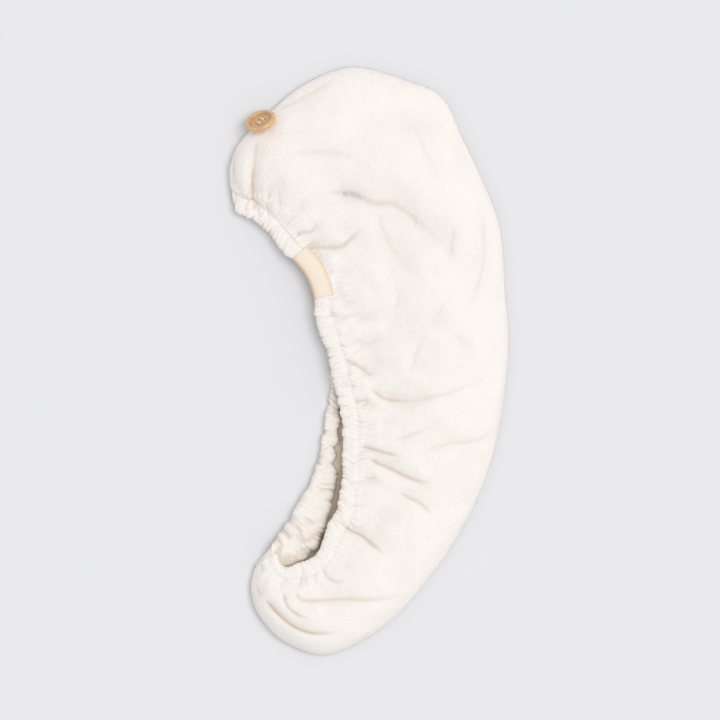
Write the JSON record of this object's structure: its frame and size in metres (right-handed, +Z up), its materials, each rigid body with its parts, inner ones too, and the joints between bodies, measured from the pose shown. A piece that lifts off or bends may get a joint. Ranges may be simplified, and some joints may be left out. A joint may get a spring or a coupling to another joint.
{
  "type": "hair turban towel",
  "caption": "Crescent-shaped plush hair turban lying flat, its panels sewn along the outer edge, with a gathered elastic mouth, a blank folded tab and a wooden button.",
  "frame": {"origin": "middle of the outline, on the surface that the towel lies on", "axes": "+Z up from the surface; +Y along the towel, towards the end that has the button; the mouth opens towards -X"},
  "size_m": [0.2233, 0.4692, 0.033],
  "materials": {
    "plush": "soft cream microfibre plush with a short dense pile",
    "hem_plush": "the same plush, gathered on elastic",
    "tab_weave": "fine cream damask ribbon, blank",
    "button_wood": "pale turned wood, satin",
    "thread": "cream sewing thread"
  },
  "bodies": {
    "root": {"upper_panel": "plush", "lower_panel": "plush", "mouth_hem": "hem_plush", "woven_tab": "tab_weave", "button": "button_wood", "button_thread": "thread"}
  },
  "joints": []
}
